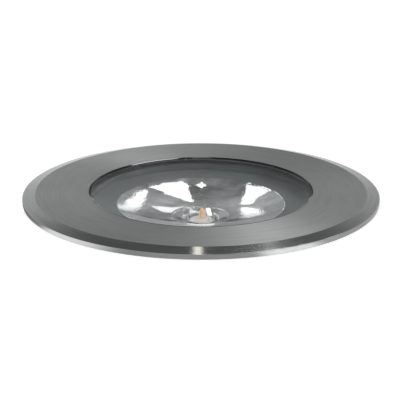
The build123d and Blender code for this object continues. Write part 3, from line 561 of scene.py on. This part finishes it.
ring_outline = rounded(
    (OPENING_RADIUS, 0.00058, 0.0001), (OPENING_RADIUS + CHAMFER, 0.0, 0.0002),
    (BEVEL_RADIUS, 0.0, 0.0003), (RING_RADIUS, 0.0022, 0.0003), (RING_RADIUS, RIM_DEPTH, 0.0003),
    (0.1250, RIM_DEPTH), (0.1250, 0.0043), (0.1192, 0.0043), (0.1192, RIM_DEPTH),
    (0.1160, RIM_DEPTH), (0.1160, 0.0026), (0.0860, 0.0026), (0.0860, 0.0012),
    (OPENING_RADIUS, 0.0012),
)
ring = turned_shape("ring_trim", 256, ring_outline, closed=True)
smooth(ring, 25.0)
flat_faces = ring.modifiers.new("flat_faces", "WEIGHTED_NORMAL")
flat_faces.weight, flat_faces.keep_sharp = 100, True
apply_all(ring)
dress(ring, FINISHES["brushed_ring"], "trim", "brushed_ring", "trim_ring")

# ---- Glass ---------------------------------------------------------------------------------------

glass = turned_shape("glass_plate", 192, [
    (GLASS_RADIUS - GLASS_CHAMFER, GLASS_TOP), (GLASS_RADIUS, GLASS_TOP + GLASS_CHAMFER),
    (GLASS_RADIUS, GLASS_BOTTOM - GLASS_CHAMFER), (GLASS_RADIUS - GLASS_CHAMFER, GLASS_BOTTOM),
])
bpy.ops.object.mode_set(mode="EDIT")
bpy.ops.mesh.select_all(action="DESELECT")
bpy.ops.mesh.select_non_manifold()
bpy.ops.mesh.fill_holes(sides=0)
face_outward()
smooth(glass, 30.0)
dress(glass, FINISHES["clear_glass"], "cover", "clear_glass", "cover_glass")
dress_faces(glass, ground_edge_finish(), lambda face: abs(face.normal.z) < 0.9)

# ---- Reflector -----------------------------------------------------------------------------------

REFLECTOR_RADIUS, NECK_RADIUS, COLLAR_RADIUS = 0.061, 0.020, 0.0108
PLATE_TOP, REFLECTOR_DROP, CUP_FLOOR = 0.0191, 0.0096, 0.0311
REFLECTOR_SHEET = 0.0007
DISH_END = NECK_RADIUS + 0.0006
DISH_STEPS = 24

# A short row of pips at the front of the reflector's neck, with the spacing in degrees; they glow
# as a painted highlight
PIPS, PIP_SPACING, PIP_CIRCLE, PIP_RADIUS = 9, 5.8, 0.0228, 0.0008


def dish_depth(radius):
    share = (radius**2 - NECK_RADIUS**2) / (REFLECTOR_RADIUS**2 - NECK_RADIUS**2)
    return PLATE_TOP + REFLECTOR_DROP * (1 - share)


rim = [(0.0618, 0.0194), (0.0617, PLATE_TOP), (0.0613, PLATE_TOP)]
slope = []
for step in range(DISH_STEPS + 1):
    at = REFLECTOR_RADIUS + (DISH_END - REFLECTOR_RADIUS) * step / DISH_STEPS
    slope.append((at, dish_depth(at)))
cup = [
    (0.0199, 0.0288), (0.0187, 0.0292), (0.0178, 0.0295), (0.0169, 0.0298), (0.0160, 0.0301),
    (0.0151, 0.0304), (0.0142, 0.0307), (0.0133, 0.0309), (0.0124, 0.03105), (0.0114, CUP_FLOOR),
    (0.0109, CUP_FLOOR), (COLLAR_RADIUS, 0.0316), (COLLAR_RADIUS, 0.0366),
]
dish = turned_shape("reflector_dish", 192, rim + slope + cup)
thicken(dish, REFLECTOR_SHEET, -1.0)
apply_all(dish)
dish_faces = len(dish.data.polygons)
pips = []
for index in range(PIPS):
    turn = radians(-90 + (index - (PIPS - 1) / 2) * PIP_SPACING)
    spot = (PIP_CIRCLE * cos(turn), PIP_CIRCLE * sin(turn), up(dish_depth(PIP_CIRCLE)))
    deselect()
    bpy.ops.mesh.primitive_uv_sphere_add(
        segments=16, ring_count=8, radius=PIP_RADIUS, location=spot
    )
    pips.append(bpy.context.object)
joined(dish, *pips)
smooth(dish, 18.0)
dress(dish, FINISHES["bright_aluminium"], "luminaire", "bright_aluminium", "reflector")
# The pips get the glowing bright strip finish, a painted highlight
dress_faces(dish, FINISHES["bright_strip"], lambda face: face.index >= dish_faces)

# ---- Capsule lamp --------------------------------------------------------------------------------

ENVELOPE_RADIUS, ENVELOPE_WALL = 0.0090, 0.0003
ENVELOPE_TOP, ENVELOPE_END = 0.0170, 0.0349
DOME_STEPS = 12
BASE_BOTTOM, BASE_RADIUS = 0.0499, 0.0098
PAD_DEPTH = 0.0316
BURNER_RADIUS, BURNER_SHIFT = 0.0019, 0.0008
STAY_PLACE = 0.00215


def dome(radius, top):
    """From the crown of a dome down to where its straight wall starts."""
    turns = [(step + 1) * pi / 2 / DOME_STEPS for step in range(DOME_STEPS)]
    return [(CROWN_GAP, top)] + [(radius * sin(t), top + radius * (1 - cos(t))) for t in turns]


envelope = turned_shape("lamp_capsule", 64, dome(ENVELOPE_RADIUS, ENVELOPE_TOP) + [
    (ENVELOPE_RADIUS, ENVELOPE_END - 0.0002), (ENVELOPE_RADIUS - 0.0002, ENVELOPE_END),
])
close_crown(envelope)
thicken(envelope, ENVELOPE_WALL, -1.0)
apply_all(envelope)
smooth(envelope, 50.0)
dress(envelope, FINISHES["lamp_glass"], "luminaire", "lamp_glass", "lamp_envelope")

burner = turned_shape("burner_body", 48, [
    (CROWN_GAP, 0.0229), (0.0005, 0.0230), (0.0006, 0.0233), (0.0006, 0.0237), (0.0011, 0.0240),
    (0.0015, 0.0243), (0.0018, 0.0247), (BURNER_RADIUS, 0.0254), (BURNER_RADIUS, 0.0298),
    (0.0017, 0.0303), (0.0013, 0.0306), (0.0009, 0.0308), (0.0008, PAD_DEPTH),
    (CROWN_GAP, PAD_DEPTH),
])
close_crown(burner)
stays = [
    rod("stay_left", (-0.0021, 0.0, 0.0252), (-0.0021, 0.0, PAD_DEPTH), 0.0004),
    rod("stay_right", (0.0022, 0.0, 0.0249), (0.0022, 0.0, PAD_DEPTH), 0.0006),
]
joined(burner, *stays)
burner.data.transform(Matrix.Translation((BURNER_SHIFT, 0.0, 0.0)))


def by_a_stay(face):
    """On a stay, or on the side of the burner that it lies against."""
    across = abs(face.center.x - BURNER_SHIFT) - STAY_PLACE
    return Vector((across, face.center.y)).length < 0.00066


smooth(burner, 50.0)
dress(burner, FINISHES["burner_ceramic"], "luminaire", "burner_ceramic", "lamp_burner")
# The stays and the burner's sides beside them get the white ceramic, with its painted glow
dress_faces(burner, FINISHES["white_ceramic"], by_a_stay)

# The return lead: a bright strip that leans beside the burner, on a wire from the lamp's base. The
# strip glows white, a painted highlight for the window that the lamp's envelope mirrors.
strip = ribbon("return_lead", [
    (0.0034, 0.0008, 0.0234), (0.0068, 0.0008, 0.0234),
    (0.0084, -0.0014, 0.0286), (0.0046, -0.0014, 0.0286),
], 0.0003)
strip_faces = len(strip.data.polygons)
lead = rod("lead_wire", (0.0062, -0.0020, 0.0290), (0.0056, 0.0, 0.0320), 0.00045)
tip = rod("tip_wire", (0.0040, 0.0008, 0.0236), (0.0003, 0.0, 0.0234), 0.00025)
joined(strip, lead, tip)
smooth(strip, 40.0)
dress(strip, FINISHES["nickel_wire"], "luminaire", "nickel_wire", "lamp_leads")
# The strip glows: a painted highlight
dress_faces(strip, FINISHES["bright_strip"], lambda face: face.index < strip_faces)

# The base: a pad that the burner stands on, a groove for the envelope, and a waist further down.
# Its white ceramic has a painted glow, as the lamp is off.
base = turned_shape("lamp_cap", 64, [
    (CROWN_GAP, PAD_DEPTH), (0.0078, PAD_DEPTH), (0.0081, 0.0319), (0.0081, 0.0351),
    (0.0091, 0.0351), (0.0091, 0.0333), (0.0093, 0.0330), (0.0095, 0.0329), (0.0097, 0.0330),
    (BASE_RADIUS, 0.0333), (BASE_RADIUS, 0.0400), (0.0095, 0.0403), (0.0095, 0.0411),
    (BASE_RADIUS, 0.0414), (BASE_RADIUS, BASE_BOTTOM - 0.0005),
    (BASE_RADIUS - 0.0005, BASE_BOTTOM), (CROWN_GAP, BASE_BOTTOM),
])
close_crown(base)
smooth(base, 30.0)
dress(base, FINISHES["white_ceramic"], "luminaire", "white_ceramic", "lamp_base")

# ---- Studio --------------------------------------------------------------------------------------

# A look that has crossed more faces of the glass than this has been under it and come back up
CROSSED_FACES = 2.5
# A surface that only gives off light
UNLIT = {"Base_Color": (0.0, 0.0, 0.0), "Roughness": 1.0, "Specular_IOR_Level": 0.0}
TENT_RADIUS = 3.0
WINDOW_DISTANCE = 1.2
SKY_SEEN, SKY_LIGHT = 1.0, 0.7
FLOOR_GLOW = 0.55


def under_glass(finish):
    """One for light that has reached the parts under the glass, and zero for all other light."""
    return finish.node("ShaderNodeLightPath", output="Transmission Depth").over(CROSSED_FACES)


def looked_at(finish):
    """One for what the camera, a mirror or glass shows, and zero for the light on matt surfaces."""
    camera, glossy, transmission = (
        finish.node("ShaderNodeLightPath", output=f"Is {kind} Ray")
        for kind in ("Camera", "Glossy", "Transmission")
    )
    return camera.most(glossy).most(transmission)


def card_finish(name, strength, colour, for_inside):
    """A lit card that either the parts under the glass mirror, or the ring and the glass do."""
    finish = Finish(name)
    finish.surface(**UNLIT, Emission_Color=colour, Emission_Strength=strength)
    inside = under_glass(finish)
    finish.let_through(1.0 - inside if for_inside else inside)
    return finish.owner


def reflected_only(piece):
    """Shows only to what mirrors the piece, or looks at it through the glass."""
    piece.visible_camera = False
    piece.visible_diffuse = False
    piece.visible_shadow = False
    piece.visible_volume_scatter = False


def direction(azimuth, elevation):
    """Azimuth 90 is straight behind the light, and 0 is to its right."""
    a, e = radians(azimuth), radians(elevation)
    return Vector((cos(a) * cos(e), sin(a) * cos(e), sin(e)))


def card(name, azimuth, elevation, distance, width, height, strength, colour=WHITE):
    """A flat card that faces the light, for the ring and the glass to mirror."""
    deselect()
    outward = direction(azimuth, elevation)
    bpy.ops.mesh.primitive_plane_add(size=1)
    made = bpy.context.object
    made.name = name
    made.scale = (width, height, 1)
    made.rotation_mode = "QUATERNION"
    made.rotation_quaternion = (-outward).to_track_quat("Z", "Y")
    made.location = Vector((0, 0, RING_TOP)) + outward * distance
    made.data.materials.append(card_finish(name, strength, colour, for_inside=False))
    reflected_only(made)


def window(name, strength, *corners):
    """A bright window that only the parts under the glass mirror; each corner is a direction."""
    deselect()
    bpy.ops.mesh.primitive_circle_add(vertices=len(corners), radius=1, fill_type="NGON")
    made = bpy.context.object
    made.name = name
    for point, corner in zip(made.data.vertices, corners):
        point.co = Vector((0, 0, RING_TOP)) + direction(*corner) * WINDOW_DISTANCE
    made.data.materials.append(card_finish(name, strength, WHITE, for_inside=True))
    reflected_only(made)


def floor_finish():
    """Pale and lit for what looks at it, matt for the object's shadow, and open from below."""
    finish = Finish("pale_floor")
    finish.surface(Base_Color=(0.8, 0.8, 0.8), Roughness=0.9, Specular_IOR_Level=0.0,
                   Emission_Color=looked_at(finish) * FLOOR_GLOW, Emission_Strength=1.0)
    finish.let_through(finish.node("ShaderNodeNewGeometry", output="Backfacing"))
    return finish.owner


def ground(name, inner, outer, depth, material, first_angle, last_angle):
    """A flat ring of ground in front of the light, from one angle round to another."""
    made = circle(name, 144, inner, depth)
    extrude_circle(inner, depth, outer, depth)
    bpy.ops.mesh.select_mode(type="FACE")
    bpy.ops.mesh.select_all(action="DESELECT")
    bpy.ops.object.mode_set(mode="OBJECT")
    for face in made.data.polygons:
        x, y = face.center.xy
        face.select = not first_angle < degrees(atan2(y, x)) < last_angle
    bpy.ops.object.mode_set(mode="EDIT")
    bpy.ops.mesh.delete(type="FACE")
    bpy.ops.object.mode_set(mode="OBJECT")
    if made.data.polygons[0].normal.z < 0:
        made.data.flip_normals()
    made.data.materials.append(material)
    made.visible_shadow = False
    return made


def rim_card_finish():
    """Grey card on the ground with two bright ends, which the ring's rim mirrors."""
    finish = Finish("rim_card")
    angle = finish.axis(1).turned(finish.axis(0))
    ends = angle.hump(-152, -142, -130, -112) + angle.hump(-75, -68, -57, -47)
    rise = angle.band(-165, -140, 0.26, 0.50)
    bulge = angle.band(-95, -60, 0.0, 0.22) * angle.band(-50, -30, 1.0, 0.5)
    return finish.surface(**UNLIT, Emission_Color=rise + bulge + ends * 0.95, Emission_Strength=1.0)


def mirrored_tent(height, side):
    """The tent in the ring and the glass: a pale horizon, dark above it straight behind."""
    above, overhead = height.band(sine(19), sine(43)), height.band(sine(68), sine(82))
    dark = side.hump(-60, -30, 30, 60).mix(0.42, 0.15)
    horizon = side.band(-6, 8, 0.61, 0.50) + side.hump(-20, -8, 8, 20) * 0.24
    # Two narrow gaps lean outward from the middle, and the opening's chamfer mirrors them dark
    off_centre = abs(side) - (1.9 + height * 31.0)
    gap = abs(off_centre).band(2.0, 3.5, 1.0, 0.0)
    gap = gap * height.hump(sine(5), sine(8), sine(21), sine(25))
    whole = overhead.mix(above.mix(horizon * (1.0 - gap * 0.8), dark), 0.42)
    # A dark strip in the middle is what the front of the bevel mirrors
    strip = side.hump(-9, -5, 5, 9) * height.hump(sine(13), sine(15), sine(21), sine(24))
    return strip.mix(whole, side.band(-4, 4, 0.21, 0.13))


def tent_through_glass(height, side, mottle):
    """The tent in the parts under the glass: paler low down, and uneven."""
    low, lowest = 1.0 - height.band(sine(26), sine(42)), 1.0 - height.band(sine(6), sine(17))
    left = 1.0 - side.band(-6, -2)
    right = side.band(4, 7) * side.band(7.5, 9.5, 1.0, 0.2)
    brightness = 0.17 + low * (0.16 + left * 0.28) + right * 0.22 + lowest * 0.30
    return brightness + mottle.band(0.32, 0.68, -0.08, 0.14)


def tent_finish():
    """Grey tent round the light: one brightness for mirrors, another through the glass."""
    finish = Finish("tent")
    height = finish.axis(2) / TENT_RADIUS
    # Degrees to the right of straight behind the light
    side = finish.axis(0).turned(finish.axis(1))
    mottle = finish.noise(finish.place(), 2.6)
    brightness = under_glass(finish).mix(
        mirrored_tent(height, side), tent_through_glass(height, side, mottle)
    )
    return finish.surface(**UNLIT, Emission_Color=brightness, Emission_Strength=1.0)


pale_floor = floor_finish()
ground("ground", 0.1262, 5.0, RIM_DEPTH, pale_floor, -165, 50)
deselect()
bpy.ops.mesh.primitive_plane_add(size=12, location=(0, 0, -0.0005))
floor = bpy.context.object
floor.name = "under_floor"
floor.data.materials.append(pale_floor)

rim_card = ground("rim_card", 0.1303, 0.40, RIM_DEPTH - 0.0001, rim_card_finish(), -180, 50)
reflected_only(rim_card)

deselect()
bpy.ops.mesh.primitive_uv_sphere_add(segments=48, ring_count=24, radius=TENT_RADIUS)
tent = bpy.context.object
tent.name = "tent"
tent.location = (0, 0, RING_TOP)
tent.data.materials.append(tent_finish())
reflected_only(tent)

# Azimuth, elevation, distance, width, height and strength
card("card_back", 62.0, 57.0, 1.5, 0.40, 0.38, 7.5)
card("card_soft", 82.5, 40.0, 1.8, 0.26, 0.22, 0.62)
card("card_side", 22.0, 48.0, 1.6, 0.50, 0.60, 3.2)
card("card_top", 90.0, 62.0, 1.6, 0.12, 0.20, 3.6)
card("small_lamp", 90.8, 51.2, 1.118, 0.025, 0.098, 2.7, (1.0, 0.97, 0.84))

# Strength, then each corner's azimuth and elevation
window("window_a", 2.6,
       (78.3, 40.6), (80.0, 46.7), (84.5, 50.5), (86.6, 47.7), (86.7, 44.0),
       (88.7, 34.6), (86.9, 35.9), (84.7, 38.0), (82.4, 38.4), (81.7, 40.3))
window("window_b", 2.4,
       (79.0, 38.6), (81.2, 31.9), (83.4, 23.0), (86.4, 11.0), (87.6, 6.0),
       (86.4, 6.0), (84.6, 14.0), (81.6, 24.0), (79.1, 33.6))
window("window_c", 2.1,
       (84.2, 24.2), (85.3, 26.8), (86.4, 28.0), (87.7, 30.4), (87.8, 27.6),
       (87.4, 21.4), (86.4, 20.0), (85.2, 22.0))
window("window_d", 2.3,
       (101.5, 44.6), (102.0, 41.6), (102.4, 37.6), (101.6, 32.8), (100.6, 32.4),
       (98.9, 31.0), (96.4, 26.0), (95.4, 28.0), (97.4, 34.1), (99.8, 40.0))
window("window_e", 2.6,
       (95.0, 25.8), (95.5, 23.0), (95.1, 18.6), (93.7, 12.4), (91.9, 5.5),
       (91.9, 8.1), (93.4, 16.8))
window("window_low", 2.4, (88.9, 0.3), (88.9, 3.0), (91.1, 3.0), (91.1, 0.3))
window("window_neck", 1.7,
       (87.9, 14.5), (88.5, 10.5), (89.2, 6.5), (90.0, 6.5), (89.3, 10.5), (88.9, 14.0))
window("window_star", 4.0,
       (90.3, 51.9), (90.6, 49.4), (92.1, 48.5), (90.6, 47.6),
       (90.3, 45.3), (90.0, 47.6), (88.6, 48.5), (90.0, 49.4))
window("window_side", 7.0, (-35, 20), (-35, 65), (35, 65), (35, 20))
window("window_left", 1.8, (150, 20), (150, 65), (205, 65), (205, 20))
window("window_front", 3.0, (-110, 12), (-110, 55), (-70, 55), (-70, 12))

world = bpy.data.worlds.new("studio")
bpy.context.scene.world = world
sky = Finish(world)
sky.fill(world.node_tree.nodes["Background"], {"Color": looked_at(sky).mix(SKY_LIGHT, SKY_SEEN)})

# ---- Camera --------------------------------------------------------------------------------------

CAMERA_DISTANCE, CAMERA_ANGLE = 1.04, 18.0
AIM = (-0.0007, -0.0024, 0.2775)

camera_data = bpy.data.cameras.new("camera")
camera_data.lens, camera_data.sensor_width = 127.94, 36.0
camera_data.clip_start, camera_data.clip_end = 0.01, 50.0
camera = bpy.data.objects.new("camera", camera_data)
bpy.context.scene.collection.objects.link(camera)
camera.location = (
    0.0,
    -CAMERA_DISTANCE * cos(radians(CAMERA_ANGLE)),
    RING_TOP + CAMERA_DISTANCE * sine(CAMERA_ANGLE),
)
camera.rotation_mode = "QUATERNION"
camera.rotation_quaternion = (Vector(AIM) - camera.location).to_track_quat("-Z", "Y")
bpy.context.scene.camera = camera
bpy.context.scene.view_settings.view_transform = "Standard"
